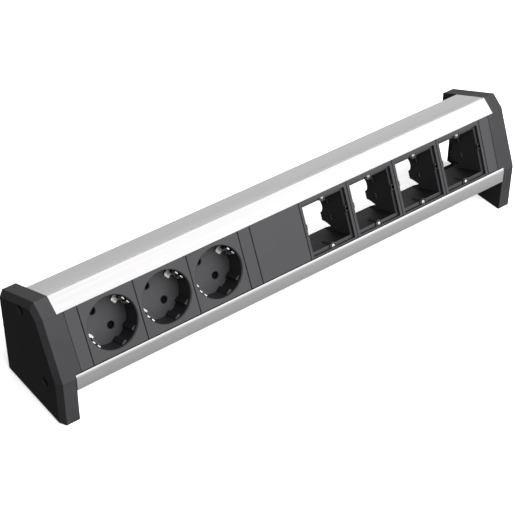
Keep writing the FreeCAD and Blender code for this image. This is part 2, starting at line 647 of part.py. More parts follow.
def contact_carrier(x):
    """Insulating plate behind the shutter: pivot post, pin holes and slots for the earth clip's legs."""
    half_w = HALF_W - HOUSING_WALL - CARRIER_PLAY
    half_h = HALF_H - HOUSING_WALL - CARRIER_PLAY
    s = SOCKET_S
    plate = block(x - half_w, x + half_w, s - half_h, s + half_h, CARRIER_FRONT, CARRIER_BACK)
    spring_floor = CARRIER_FRONT + SPRING_TURNS * 2 * SPRING_WIRE_R
    tools = [rod(0, 0, CARRIER_FRONT - 1, spring_floor, SPRING_WELL_R)] + clip_slots()
    for side in (-1, 1):
        tools.append(rod(side * PIN_REACH, 0, CARRIER_FRONT - 1, CARRIER_BACK + 1, PIN_HOLE_R))
    plate = plate.cut([turned(tool, x) for tool in tools])
    room = CORNER_BOSS_R + CARRIER_PLAY
    for bx, bs in corner_places(x):
        far_x = x + math.copysign(HALF_W, bx - x)
        far_s = s + math.copysign(HALF_H, bs - s)
        x0, x1 = sorted((far_x, bx - math.copysign(room, bx - x)))
        s0, s1 = sorted((far_s, bs - math.copysign(room, bs - s)))
        plate = plate.cut(block(x0, x1, s0, s1, CARRIER_FRONT - 1, CARRIER_BACK + 1))
    pivot = rod(x, s, FLOOR_BACK + SHUTTER_GAP, CARRIER_BACK, PIVOT_R)
    spacers = [rod(x + side * (half_w - SPACER_IN), s - side * (half_h - SPACER_IN),
                   FLOOR_BACK + SPACER_GAP, CARRIER_FRONT + 1, SPACER_R) for side in (-1, 1)]
    return union([plate, pivot] + spacers)


def bar_slots(x0, x1):
    """Openings for the three contact strips through a wall between x0 and x1."""
    tools = []
    for s, d in bar_places():
        tools.append(block(x0, x1, s - BAR_W / 2 - BAR_SLOT_PLAY, s + BAR_W / 2 + BAR_SLOT_PLAY,
                           d - BAR_SLOT_PLAY, d + BAR_T + BAR_SLOT_PLAY))
    return tools


def cross_ribs(x0, x1, back):
    """Two raised ribs across the back of a box."""
    quarter = (x1 - x0) / 4
    return [block(x0 + at - CROSS_RIB_W / 2, x0 + at + CROSS_RIB_W / 2, BOX_LOW + 2, BOX_HIGH - 2,
                  back - 0.5, back + CROSS_RIB_H) for at in (quarter, 3 * quarter)]


def carrier_ledges(x):
    """Four ledges on the housing's side walls, clear of the contact strips."""
    wall = HALF_W - HOUSING_WALL
    near = pin_offset(-1)[1] + BAR_W / 2 + BAR_SLOT_PLAY + CARRIER_PLAY
    ledges = []
    for side in (-1, 1):
        x0, x1 = sorted((x + side * (wall - LEDGE_REACH), x + side * (wall + HOUSING_WALL / 2)))
        for end in (-1, 1):
            s0, s1 = sorted((SOCKET_S + end * near, SOCKET_S + end * (near + LEDGE_W)))
            ledges.append(block(x0, x1, s0, s1, CARRIER_BACK, HOUSING_BACK - HOUSING_WALL / 2))
    return ledges


def rounded_box(x0, x1, front, wall):
    """Open-fronted rear box with rounded corners, from its front edge to the rear face."""
    box = block(x0, x1, BOX_LOW, BOX_HIGH, front, HOUSING_BACK)
    upright = [e for e in box.Edges if abs(e.BoundBox.ZLength - (HOUSING_BACK - front)) < 0.01]
    box = box.makeFillet(wall, upright)
    inside = block(x0 + wall, x1 - wall, BOX_LOW + wall, BOX_HIGH - wall, front - 1, HOUSING_BACK - wall)
    return box.cut(inside)


def boss_holes(x, front):
    """Holes for the two corner screws, from a front depth out through the rear face."""
    r = SMALL_SCREW_R + SCREW_PLAY
    return [rod(bx, bs, front - 1, HOUSING_BACK + 2, r) for bx, bs in corner_places(x)]


def rear_bosses(x, front):
    back = HOUSING_BACK - HOUSING_WALL / 2
    return [rod(bx, bs, front, back, CORNER_BOSS_R) for bx, bs in corner_places(x)]


def socket_housing(x):
    """Rear box of one socket, with bosses for its two screws and slots for the contact strips."""
    box = rounded_box(x - HALF_W, x + HALF_W, FLOOR_BACK, HOUSING_WALL)
    ribs = cross_ribs(x - HALF_W, x + HALF_W, HOUSING_BACK)
    body = union([box] + rear_bosses(x, FLOOR_BACK) + ribs + carrier_ledges(x))
    return body.cut(boss_holes(x, FLOOR_BACK) + bar_slots(x - HALF_W - 1, x + HALF_W + 1))


def housing_screws():
    """Long screws from the back of each housing and of the junction box into the fronts."""
    tip = FLOOR_BACK - SCREW_ENTRY + 0.5
    places = [place for x in SOCKET_X for place in corner_places(x)]
    solids = [screw(x, s, HOUSING_BACK, tip, SMALL_HEAD_R, SMALL_HEAD_T, False) for x, s in places]
    box_tip = BOX_FRONT - SCREW_ENTRY + 0.5
    solids += [screw(x, s, HOUSING_BACK, box_tip, SMALL_HEAD_R, SMALL_HEAD_T, False)
               for x, s in corner_places(BLANK_X)]
    return Part.makeCompound(solids)


# ---- contact strips ------------------------------------------------------------------------
def pin_offset(side):
    """Pin hole's place from the socket's centre, along the strip and up the panel."""
    return (side * PIN_REACH * math.cos(PIN_ANGLE), side * PIN_REACH * math.sin(PIN_ANGLE))


def bar_places():
    """Height up the panel and depth of the neutral, earth and line strips."""
    return ((SOCKET_S + pin_offset(1)[1], MAINS_BAR_AT), (SOCKET_S, EARTH_BAR_AT),
            (SOCKET_S + pin_offset(-1)[1], MAINS_BAR_AT))


def mains_bar(side):
    """Strip that joins one pin of every socket to the inlet, with a pair of leaves for each pin."""
    dx, ds = pin_offset(side)
    s = SOCKET_S + ds
    start = SOCKET_X[0] + dx - BAR_START
    half = BAR_W / 2
    strip = block(start, BLANK_X + INLET_PIN_T, s - half, s + half, MAINS_BAR_AT, MAINS_BAR_AT + BAR_T)
    low, high = s - LEAF_W / 2, s + LEAF_W / 2
    root = MAINS_BAR_AT + BAR_T / 2
    leaves = []
    for x in SOCKET_X:
        for hand in (-1, 1):
            near, far = sorted((hand * LEAF_GAP, hand * (LEAF_GAP + LEAF_T)))
            leaves.append(block(x + dx + near, x + dx + far, low, high, LEAF_TOP, root))
    return union([strip] + leaves)


def earth_bar():
    start = SOCKET_X[0] - BAR_START
    return block(start, BLANK_X + INLET_PIN_T, SOCKET_S - BAR_W / 2, SOCKET_S + BAR_W / 2,
                 EARTH_BAR_AT, EARTH_BAR_AT + BAR_T)


# ---- blank module, junction box and inlet --------------------------------------------------
def blank_module():
    shell = module_shell(BLANK_X, MODULE, SKIRT_DEPTH)
    bosses = [rod(x, s, PLATE_T / 2, BOX_FRONT, CORNER_BOSS_R) for x, s in corner_places(BLANK_X)]
    r = SMALL_SCREW_R + SCREW_PLAY
    holes = [rod(x, s, BOX_FRONT - SCREW_ENTRY, BOX_FRONT + 1, r) for x, s in corner_places(BLANK_X)]
    return union([shell] + bosses).cut(holes)


def junction_box():
    """Box behind the middle filler and the blank module, where the inlet meets the contact strips."""
    box = rounded_box(BOX_LEFT, BOX_RIGHT, BOX_FRONT, BOX_WALL)
    body = union([box] + rear_bosses(BLANK_X, BOX_FRONT))
    mouth = inlet_shape(INLET_PLAY, HOUSING_BACK - BOX_WALL - 1, HOUSING_BACK + 1)
    slots = bar_slots(BOX_LEFT - 1, BOX_LEFT + BOX_WALL + 1)
    return body.cut(boss_holes(BLANK_X, BOX_FRONT) + [mouth] + slots)


def inlet_shape(grow, d0, d1):
    """Outline of the inlet's shell with its two cut corners, between two depths."""
    x = BLANK_X
    w = INLET_W / 2 + grow
    h = INLET_L / 2 + grow
    c = INLET_CORNER
    points = [(-w, -h), (w - c, -h), (w, -h + c), (w, h - c), (w - c, h), (-w, h)]
    corners = [V(x + px, SOCKET_S + ps, -d1) for px, ps in points]
    return Part.Face(Part.makePolygon(corners + corners[:1])).extrude(V(0, 0, d1 - d0))


def inlet_shell():
    """Appliance inlet: flanged shell set into the back of the junction box."""
    front = HOUSING_BACK - INLET_NECK
    mouth = HOUSING_BACK + INLET_REACH
    body = inlet_shape(0, front, mouth)
    flange = inlet_shape(INLET_FLANGE, HOUSING_BACK, HOUSING_BACK + INLET_FLANGE_T)
    body = union([body, flange])
    body = body.cut(inlet_shape(-INLET_WALL, HOUSING_BACK + 1, mouth + 1))
    return body.cut([pin_slot(place) for place in inlet_pin_places()])


def inlet_pin_places():
    """Height up the panel and front depth of each inlet pin; each one ends on its contact strip."""
    return [(s, d + BAR_T) for s, d in bar_places()]


def pin_slot(place):
    half_t = INLET_PIN_T / 2 + INLET_PIN_PLAY
    half_w = INLET_PIN_W / 2 + INLET_PIN_PLAY
    s = place[0]
    return block(BLANK_X - half_t, BLANK_X + half_t, s - half_w, s + half_w,
                 HOUSING_BACK - INLET_NECK - 1, HOUSING_BACK + 2)


def inlet_pin(place):
    """Flat pin from its contact strip to just inside the inlet's mouth."""
    s, d = place
    tip = HOUSING_BACK + INLET_REACH - INLET_PIN_SHORT
    pin = block(BLANK_X - INLET_PIN_T / 2, BLANK_X + INLET_PIN_T / 2, s - INLET_PIN_W / 2,
                s + INLET_PIN_W / 2, d, tip)
    tip_edges = [e for e in pin.Edges if abs(e.CenterOfMass.z + tip) < 0.01]
    return pin.makeChamfer(INLET_PIN_TIP, tip_edges)


# ---- open module frames --------------------------------------------------------------------
def screw_places(x):
    """Screw bosses below and above a frame's opening."""
    return [(x, FRAME_S + side * (SLEEVE / 2 + BOSS_OUT)) for side in (-1, 1)]


def side_places(x):
    """Empty fixing holes left and right of a frame's opening."""
    return [(x + side * (SLEEVE / 2 + SIDE_BOSS_OUT), FRAME_S + SIDE_BOSS_S) for side in (-1, 1)]


def screw_bosses(x):
    return [rod(bx, bs, BOSS_FRONT, BOSS_BACK, BOSS_R) for bx, bs in screw_places(x)]


def side_bosses(x):
    return [rod(bx, bs, BOSS_FRONT, BOSS_BACK, SIDE_BOSS_R) for bx, bs in side_places(x)]


def latch_ridge(x, s, side):
    """Ridge with rounded ends along a side wall of the opening; half of it is in the wall."""
    wall = x + side * SLEEVE / 2
    half = LATCH_L / 2 - LATCH_R
    start = V(wall, s - half, -LATCH_D)
    ridge = Part.makeCylinder(LATCH_R, 2 * half, start, V(0, 1, 0))
    ends = [Part.makeSphere(LATCH_R, V(wall, s + e * half, -LATCH_D)) for e in (-1, 1)]
    return union([ridge] + ends)


def corner_slit(x0, x1):
    """Tapering slit for the lower rear corner of a side wall, between two places along the strip."""
    low = FRAME_S - SLEEVE / 2
    shoulder = SLEEVE_BACK - NOTCH_SHOULDER
    outline = [(low, SLEEVE_BACK + 1), (low, SLEEVE_BACK), (low + NOTCH_TIP, SLEEVE_BACK - NOTCH_DEEP),
               (low + NOTCH_MOUTH - 1, shoulder), (low + NOTCH_MOUTH, SLEEVE_BACK),
               (low + NOTCH_MOUTH, SLEEVE_BACK + 1)]
    corners = [V(x0, s, -d) for s, d in outline]
    return Part.Face(Part.makePolygon(corners + corners[:1])).extrude(V(x1 - x0, 0, 0))


def frame_front(x):
    """Front plate of an open module: rim, recessed ledge and short skirt."""
    half = MODULE / 2 - JOINT_GAP / 2
    plate = block(x - half, x + half, MODULE_LOW, MODULE_HIGH, 0, SNAP_AT + SNAP_W + 1)
    plate = plate.makeFillet(EDGE_R, [e for e in plate.Edges if abs(e.CenterOfMass.z) < 0.01])
    behind = block(x - half + SKIRT_T, x + half - SKIRT_T, MODULE_LOW + SKIRT_T, MODULE_HIGH - SKIRT_T,
                   POCKET_DEPTH + LEDGE_T, DEPTH)
    half_w = SLEEVE / 2 + POCKET_SIDE
    half_h = SLEEVE / 2 + POCKET_END
    pocket = block(x - half_w, x + half_w, FRAME_S - half_h, FRAME_S + half_h, -1, POCKET_DEPTH)
    return plate.cut([behind, pocket])


def frame_holes(x):
    """Screw holes, blind side holes, slits and stepped rear edges of one frame."""
    tools = []
    bore = SMALL_SCREW_R + SCREW_PLAY
    sunk = BOSS_FRONT + BOSS_SINK
    for bx, bs in screw_places(x):
        tools.append(rod(bx, bs, BOSS_FRONT - 1, sunk, BOSS_SINK_R))
        tools.append(rod(bx, bs, BOSS_FRONT, sunk + FRAME_SCREW_LEN + 0.5, bore))
    for bx, bs in side_places(x):
        tools.append(rod(bx, bs, BOSS_FRONT - 1, SIDE_HOLE_DEEP, SIDE_HOLE_R))
    for side in (-1, 1):
        x0, x1 = sorted((x + side * (SLEEVE / 2 - 1), x + side * (SLEEVE / 2 + SLEEVE_WALL + 1)))
        slit = corner_slit(x0, x1)
        centre = V(x0, FRAME_S + SCALLOP_UP, -SLEEVE_BACK - SCALLOP_OUT)
        finger = Part.makeCylinder(SCALLOP_R, x1 - x0, centre, V(1, 0, 0))
        tools += [slit, slit.mirror(V(0, FRAME_S, 0), V(0, 1, 0)), finger]
    return tools


def module_frame(x):
    """Empty frame for a data or media insert: front plate, square sleeve, bosses and latch ridges."""
    inside = SLEEVE / 2
    outer = inside + SLEEVE_WALL
    sleeve = block(x - outer, x + outer, FRAME_S - outer, FRAME_S + outer, POCKET_DEPTH, SLEEVE_BACK)
    body = union([frame_front(x), sleeve] + snap_ridges(x - MODULE / 6, x + MODULE / 6))
    opening = block(x - inside, x + inside, FRAME_S - inside, FRAME_S + inside, -1, DEPTH)
    half = MODULE / 2 - JOINT_GAP / 2
    keep = block(x - half, x + half, MODULE_LOW, MODULE_HIGH, 0, DEPTH)
    body = union([body] + [boss.common(keep) for boss in side_bosses(x)]).cut(opening)
    bosses = [boss.common(keep) for boss in screw_bosses(x)]
    ridges = [latch_ridge(x, FRAME_S + k * LATCH_S, side) for k in (-1, 1) for side in (-1, 1)]
    return union([body] + bosses + ridges).cut(frame_holes(x))


def frame_screws():
    """Two small screws in each open frame, waiting for an insert."""
    seat = BOSS_FRONT + BOSS_SINK
    tip = seat + FRAME_SCREW_LEN
    places = [place for x in FRAME_X for place in screw_places(x)]
    solids = [screw(x, s, seat, tip, FRAME_HEAD_R, FRAME_HEAD_T, True) for x, s in places]
    return Part.makeCompound(solids)


# ---- the whole strip -----------------------------------------------------------------------
def build():
    os.makedirs("parts", exist_ok=True)
    cap = end_cap()
    save("end_cap_right", cap)
    save("end_cap_left", mirrored(cap))
    save("end_cap_screws", end_cap_screws())
    save("foot_pads", foot_pads())
    save("top_profile", top_profile())
    save("bottom_profile", bottom_profile())
    edge = BODY_LEN / 2 - CAP_TAB - FILLER / 2
    save("filler_left", world(filler(-edge)))
    save("filler_middle", world(filler(MIDDLE_X + FILLER / 2)))
    save("filler_right", world(filler(edge)))
    makers = (("socket_cover", socket_cover), ("shutter", shutter), ("shutter_spring", shutter_spring),
              ("contact_carrier", contact_carrier), ("earth_clip", earth_clip),
              ("socket_housing", socket_housing))
    for number, x in enumerate(SOCKET_X, 1):
        for name, make in makers:
            save(f"{name}_{number}", world(make(x)))
    save("housing_screws", world(housing_screws()))
    save("neutral_bar", world(mains_bar(1)))
    save("line_bar", world(mains_bar(-1)))
    save("earth_bar", world(earth_bar()))
    save("blank_module", world(blank_module()))
    save("junction_box", world(junction_box()))
    save("inlet_shell", world(inlet_shell()))
    for name, place in zip(("neutral_pin", "earth_pin", "line_pin"), inlet_pin_places()):
        save(name, world(inlet_pin(place)))
    for number, x in enumerate(FRAME_X, 1):
        save(f"module_frame_{number}", world(module_frame(x)))
    save("frame_screws", world(frame_screws()))


build()
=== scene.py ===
import json
import math

import bmesh
import bpy
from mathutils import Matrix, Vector


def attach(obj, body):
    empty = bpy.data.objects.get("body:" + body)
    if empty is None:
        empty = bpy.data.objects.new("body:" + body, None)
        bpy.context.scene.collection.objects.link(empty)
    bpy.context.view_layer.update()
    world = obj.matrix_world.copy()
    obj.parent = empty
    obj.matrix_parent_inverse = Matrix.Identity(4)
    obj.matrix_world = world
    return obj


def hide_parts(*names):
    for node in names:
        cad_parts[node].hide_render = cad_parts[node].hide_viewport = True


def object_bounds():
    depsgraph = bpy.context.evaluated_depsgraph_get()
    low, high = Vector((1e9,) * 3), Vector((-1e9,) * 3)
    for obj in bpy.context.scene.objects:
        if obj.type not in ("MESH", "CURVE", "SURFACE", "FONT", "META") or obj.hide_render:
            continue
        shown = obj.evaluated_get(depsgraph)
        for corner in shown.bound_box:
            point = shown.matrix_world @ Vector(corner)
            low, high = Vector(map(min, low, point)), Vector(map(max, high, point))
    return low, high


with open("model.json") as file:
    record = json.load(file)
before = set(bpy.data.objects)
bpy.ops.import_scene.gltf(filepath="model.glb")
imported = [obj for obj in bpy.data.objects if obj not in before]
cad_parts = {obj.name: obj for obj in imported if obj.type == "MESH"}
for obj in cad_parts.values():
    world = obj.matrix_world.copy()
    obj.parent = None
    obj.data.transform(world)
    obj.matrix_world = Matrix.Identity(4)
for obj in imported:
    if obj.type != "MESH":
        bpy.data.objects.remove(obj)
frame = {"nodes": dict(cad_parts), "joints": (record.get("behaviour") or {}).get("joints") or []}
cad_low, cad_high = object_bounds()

# Desk power strip: dark end caps, satin aluminium profiles, socket, blank and open frame modules.
# Metres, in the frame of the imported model: +X along the strip, +Y to the back, +Z up.

MM = 0.001
BODY = "strip"
SOCKETS = (1, 2, 3)
FRAMES = (1, 2, 3, 4)

# Directions of the sloping panel, taken from the shutters' axis: outwards, and up along the panel.
OUT = Vector(frame["joints"][0]["axis"]).normalized()
UP = OUT.cross(Vector((1, 0, 0))).normalized()
UP = UP if UP.z > 0 else -UP
PANEL = max(vert.co.dot(OUT) for vert in frame["nodes"]["blank_module"].data.vertices)


# ---- node helpers --------------------------------------------------------------------------
class Tree:
    """Short way to add nodes and links to a node tree."""

    def __init__(self, tree):
        self.tree = tree

    def add(self, kind, settings=None, **inputs):
        node = self.tree.nodes.new(kind)
        for key, value in (settings or {}).items():
            setattr(node, key, value)
        for key, value in inputs.items():
            self.put(node, key.replace("_", " "), value)
        return node

    def put(self, node, socket, value):
        target = node.inputs[int(socket)] if socket.isdigit() else node.inputs[socket]
        if isinstance(value, bpy.types.NodeSocket):
            self.tree.links.new(value, target)
        else:
            target.default_value = value

    def math(self, operation, a, b=0.0, c=0.0, clamp=False):
        node = self.tree.nodes.new("ShaderNodeMath")
        node.operation = operation
        node.use_clamp = clamp
        for index, value in enumerate((a, b, c)):
            self.put(node, str(index), value)
        return node.outputs[0]

    def vector(self, operation, a, b=(0, 0, 0), output="Vector"):
        node = self.tree.nodes.new("ShaderNodeVectorMath")
        node.operation = operation
        self.put(node, "0", a)
        self.put(node, "1", b)
        return node.outputs[output]

    def ramp(self, value, low, high, to_low=0.0, to_high=1.0):
        node = self.tree.nodes.new("ShaderNodeMapRange")
        node.interpolation_type = "SMOOTHSTEP"
        for name, number in (("Value", value), ("From Min", low), ("From Max", high),
                             ("To Min", to_low), ("To Max", to_high)):
            self.put(node, name, number)
        return node.outputs["Result"]

    def noise(self, vector, scale, detail=2.0, roughness=0.5):
        node = self.add("ShaderNodeTexNoise", None, Vector=vector, Scale=scale, Detail=detail,
                        Roughness=roughness)
        return node.outputs["Fac"]

    def blend(self, factor, a, b):
        """Mix of two colours."""
        node = self.tree.nodes.new("ShaderNodeMix")
        node.data_type = "RGBA"
        self.put(node, "0", factor)
        self.put(node, "6", a)
        self.put(node, "7", b)
        return node.outputs[2]


# ---- camera and stage ----------------------------------------------------------------------
AZIMUTH = math.radians(-36.82)
ELEVATION = math.radians(39.41)
LENS = 107.71
SENSOR = 36
EYE = Vector((-557.355, -720.529, 771.884)) * MM
SOFTBOX = {"azimuth": 18, "elevation": 50, "distance": 1.6, "width": 2.2, "height": 1.2, "power": 58}
AMBIENT = 0.06
# Bright patches of the studio's walls: direction, half angle in degrees, strength.
PATCHES = (((0.45, 0.9, 0.05), 75, 0.85),     # behind, mirrored by the top face
           ((0.5, -0.65, -0.5), 60, 0.45),    # low ahead, mirrored by the bottom profile
           ((0.5, -0.73, 0.45), 62, 2.35))    # ahead, mirrored by the bevelled front strip
PALE = 0.95
FLOOR_GLOW = 0.55
FLOOR_HALF = 6.0


def facing(azimuth, elevation):
    """Direction from the object towards an eye or a lamp."""
    level = math.cos(elevation)
    return Vector((math.sin(azimuth) * level, -math.cos(azimuth) * level, math.sin(elevation)))


def camera():
    data = bpy.data.cameras.new("camera")
    data.lens = LENS
    data.sensor_width = SENSOR
    data.clip_start = 0.05
    data.clip_end = 50
    cam = bpy.data.objects.new("camera", data)
    cam.location = EYE
    cam.rotation_mode = "QUATERNION"
    cam.rotation_quaternion = (-facing(AZIMUTH, ELEVATION)).to_track_quat("-Z", "Y")
    bpy.context.scene.collection.objects.link(cam)
    bpy.context.scene.camera = cam


def softbox(name, azimuth, elevation, distance, width, height, power):
    """Rectangular lamp that looks at the middle of the strip and is not mirrored in it."""
    data = bpy.data.lights.new(name, "AREA")
    data.shape = "RECTANGLE"
    data.size = width
    data.size_y = height
    data.energy = power
    lamp = bpy.data.objects.new(name, data)
    direction = facing(math.radians(azimuth), math.radians(elevation))
    centre = (cad_low + cad_high) / 2
    lamp.location = centre + direction * distance
    lamp.rotation_mode = "QUATERNION"
    lamp.rotation_quaternion = (-direction).to_track_quat("-Z", "Y")
    lamp.visible_glossy = False
    bpy.context.scene.collection.objects.link(lamp)


def lobe(tree, direction, spread, strength, place):
    """Soft bright patch of the studio wall round one direction."""
    side = tree.vector("DOT_PRODUCT", place, Vector(direction).normalized(), "Value")
    return tree.ramp(side, math.cos(math.radians(spread)), 1.0, 0.0, strength)


def studio():
    """Pale studio: a softbox ahead and to the right, and walls with patches that the metal mirrors."""
    world = bpy.data.worlds.new("studio")
    bpy.context.scene.world = world
    world.use_nodes = True
    world.node_tree.nodes.clear()
    tree = Tree(world.node_tree)
    place = tree.add("ShaderNodeTexCoord").outputs["Generated"]
    glow = AMBIENT
    for direction, spread, strength in PATCHES:
        glow = tree.math("ADD", lobe(tree, direction, spread, strength, place), glow)
    seen = tree.add("ShaderNodeMix", {"data_type": "FLOAT"}, B=PALE,
                    Factor=tree.add("ShaderNodeLightPath").outputs["Is Camera Ray"], A=glow)
    wall = tree.add("ShaderNodeBackground", None, Strength=seen.outputs["Result"])
    tree.add("ShaderNodeOutputWorld", None, Surface=wall.outputs["Background"])
    softbox("front_softbox", **SOFTBOX)


def floor():
    mesh = bpy.data.meshes.new("floor")
    corners = [(-FLOOR_HALF, -FLOOR_HALF, 0), (FLOOR_HALF, -FLOOR_HALF, 0),
               (FLOOR_HALF, FLOOR_HALF, 0), (-FLOOR_HALF, FLOOR_HALF, 0)]
    mesh.from_pydata(corners, [], [(0, 1, 2, 3)])
    plane = bpy.data.objects.new("floor", mesh)
    bpy.context.scene.collection.objects.link(plane)
    plane.visible_glossy = False
    plane.visible_diffuse = False
    pale = bpy.data.materials.new("floor_paper")
    pale.use_nodes = True
    shader = pale.node_tree.nodes["Principled BSDF"]
    shader.inputs["Base Color"].default_value = (0.9, 0.9, 0.9, 1)
    shader.inputs["Roughness"].default_value = 0.9
    shader.inputs["Emission Color"].default_value = (1, 1, 1, 1)
    shader.inputs["Emission Strength"].default_value = FLOOR_GLOW
    mesh.materials.append(pale)


def new_group(name, inputs, outputs):
    """Shader node group with named sockets; returns its tree helper, input node and output node."""
    group = bpy.data.node_groups.new(name, "ShaderNodeTree")
    kinds = {"f": "NodeSocketFloat", "v": "NodeSocketVector", "c": "NodeSocketColor"}
    for label, kind, value in inputs:
        socket = group.interface.new_socket(label, in_out="INPUT", socket_type=kinds[kind])
        if value is not None:
            socket.default_value = value
    for label, kind in outputs:
        group.interface.new_socket(label, in_out="OUTPUT", socket_type=kinds[kind])
    tree = Tree(group)
    return tree, tree.add("NodeGroupInput"), tree.add("NodeGroupOutput")


def grain_group():
    """Fine spark-eroded grain of a moulding, with broad soft clouding over it."""
    tree, given, out = new_group("moulded_grain", [("Vector", "v", None), ("Grain", "f", 2600.0),
                                                   ("Clouds", "f", 26.0)],
                                 [("Height", "f"), ("Clouding", "f")])
    pits = tree.noise(given.outputs["Vector"], given.outputs["Grain"], 3.0, 0.6)
    wider = tree.math("MULTIPLY", given.outputs["Grain"], 0.35)
    coarse = tree.noise(given.outputs["Vector"], wider, 1.0)
    tree.put(out, "Height", tree.math("MULTIPLY_ADD", coarse, 0.4, tree.math("MULTIPLY", pits, 0.6)))
    tree.put(out, "Clouding", tree.noise(given.outputs["Vector"], given.outputs["Clouds"], 4.0, 0.55))
    return tree.tree


def edge_group():
    """Edge mask where the rounded normal leaves the true one, for wear and painted highlight, and the rounded
    normal.
    """
    tree, given, out = new_group("edge_highlight_and_wear", [("Vector", "v", None), ("Radius", "f", 0.0006)],
                                 [("Edge", "f"), ("Normal", "v")])
    rounded = tree.add("ShaderNodeBevel", {"samples": 4}, Radius=given.outputs["Radius"])
    true = tree.add("ShaderNodeNewGeometry")
    same = tree.vector("DOT_PRODUCT", rounded.outputs["Normal"], true.outputs["True Normal"], "Value")
    broken = tree.noise(given.outputs["Vector"], 90.0, 3.0)
    edge = tree.ramp(same, 0.985, 0.80, 0.0, 1.0)
    tree.put(out, "Edge", tree.math("MULTIPLY", edge, tree.ramp(broken, 0.25, 0.75, 0.45, 1.0)))
    tree.put(out, "Normal", rounded.outputs["Normal"])
    return tree.tree


def dust_group():
    """Sparse fine specks and a few faint hairlines from handling."""
    tree, given, out = new_group("handling_marks", [("Vector", "v", None), ("Amount", "f", 0.3)],
                                 [("Specks", "f"), ("Hairlines", "f")])
    cells = tree.add("ShaderNodeTexVoronoi", None, Vector=given.outputs["Vector"], Scale=420.0)
    speck = tree.ramp(cells.outputs["Distance"], 0.10, 0.04)
    patch = tree.ramp(tree.noise(given.outputs["Vector"], 60.0), 0.62, 0.72)
    tree.put(out, "Specks", tree.math("MULTIPLY", tree.math("MULTIPLY", speck, patch),
                                      given.outputs["Amount"]))
    bent = tree.vector("MULTIPLY", given.outputs["Vector"], (40.0, 900.0, 900.0))
    lines = tree.ramp(tree.noise(bent, 1.0, 2.0), 0.68, 0.74)
    tree.put(out, "Hairlines", tree.math("MULTIPLY", lines, given.outputs["Amount"]))
    return tree.tree


def drawn_group():
    """Long fine lines that an extrusion die leaves along the profile, under the anodising."""
    tree, given, out = new_group("drawn_lines", [("Vector", "v", None), ("Fineness", "f", 1400.0)],
                                 [("Height", "f"), ("Tone", "f")])
    stretch = tree.add("ShaderNodeCombineXYZ", None, X=6.0, Y=given.outputs["Fineness"],
                       Z=given.outputs["Fineness"])
    fine = tree.noise(tree.vector("MULTIPLY", given.outputs["Vector"], stretch.outputs[0]), 1.0, 3.0, 0.65)
    broad = tree.noise(tree.vector("MULTIPLY", given.outputs["Vector"], (1.5, 240.0, 240.0)), 1.0, 2.0)
    matt = tree.noise(given.outputs["Vector"], 5200.0, 2.0)
    lines = tree.math("MULTIPLY_ADD", broad, 0.35, tree.math("MULTIPLY", fine, 0.65))
    tree.put(out, "Height", tree.math("MULTIPLY_ADD", matt, 0.35, lines))
    tree.put(out, "Tone", lines)
    return tree.tree


GROUP_MAKERS = {"moulded_grain": grain_group, "edge_highlight_and_wear": edge_group, "handling_marks": dust_group,
                "drawn_lines": drawn_group}
GROUPS = {}


def use(tree, name, **inputs):
    """Places a shared group in a material."""
    if name not in GROUPS:
        GROUPS[name] = GROUP_MAKERS[name]()
    node = tree.tree.nodes.new("ShaderNodeGroup")
    node.node_tree = GROUPS[name]
    for key, value in inputs.items():
        tree.put(node, key, value)
    return node.outputs


# ---- building with nodes -------------------------------------------------------------------
FACING = "facing"        # attribute that says which way a point's shape looks
LATHE_R = 1e-6           # ring that a lathe's outline is carried round, small enough to merge away
SAME_POINT = 2e-7        # corners nearer than this are one, in a grown piece
SAME_CORNER = 1e-6       # the same, in a carried-over node
SHARP = math.radians(35)
EASE = 0.18 * MM         # bevel on the extrusions' outside corners
EASE_MERGE = 2e-6
FLAT = math.radians(0.4)
CORNER = math.radians(32)
HEAD_RIM = 0.93          # share of a head's radius that its rim is past
SEAT_GAP = 0.2 * MM      # how far below the seat the shank is measured
LONGEST_THREAD = 9 * MM


def build_tree(name, inputs):
    """Geometry tree that places a shape on each point it is given; inputs are its named sizes."""
    group = bpy.data.node_groups.new(name, "GeometryNodeTree")
    group.interface.new_socket("Points", in_out="INPUT", socket_type="NodeSocketGeometry")
    for label, value in inputs:
        socket = group.interface.new_socket(label, in_out="INPUT", socket_type="NodeSocketFloat")
        socket.default_value = value
    group.interface.new_socket("Seed", in_out="INPUT", socket_type="NodeSocketInt")
    group.interface.new_socket("Finish", in_out="INPUT", socket_type="NodeSocketMaterial")
    group.interface.new_socket("Pieces", in_out="OUTPUT", socket_type="NodeSocketGeometry")
    tree = Tree(group)
    return tree, tree.add("NodeGroupInput").outputs, tree.add("NodeGroupOutput")


def spot(tree, reach, height):
    """Point of a lathe's outline, by its distance from the axis and its height."""
    down = tree.math("MULTIPLY", height, -1.0)
    return tree.add("ShaderNodeCombineXYZ", None, X=reach, Y=down).outputs[0]


def lathe(tree, curves, steps):
    """Turns outlines, which start and end on the axis, into one closed shape about Z."""
    outline = tree.add("GeometryNodeJoinGeometry")
    for curve in reversed(curves):
        tree.put(outline, "Geometry", curve)
    ring = tree.add("GeometryNodeCurvePrimitiveCircle", None, Radius=LATHE_R, Resolution=steps)
    level = tree.add("GeometryNodeSetCurveNormal", {"mode": "Z_UP"}, Curve=ring.outputs[0])
    turned = tree.add("GeometryNodeCurveToMesh", None, Curve=level.outputs[0],
                      Profile_Curve=outline.outputs[0])
    return tree.add("GeometryNodeMergeByDistance", None, Geometry=turned.outputs[0],
                    Distance=LATHE_R * 4).outputs[0]


def straight(tree, start, end):
    return tree.add("GeometryNodeCurvePrimitiveLine", None, Start=start, End=end).outputs[0]


def wire(tree, curve, radius, sides):
    """Round or many-sided wire along a curve, closed at its ends."""
    section = tree.add("GeometryNodeCurvePrimitiveCircle", None, Radius=radius, Resolution=sides)
    return tree.add("GeometryNodeCurveToMesh", None, Curve=curve, Profile_Curve=section.outputs[0],
                    Fill_Caps=True).outputs[0]


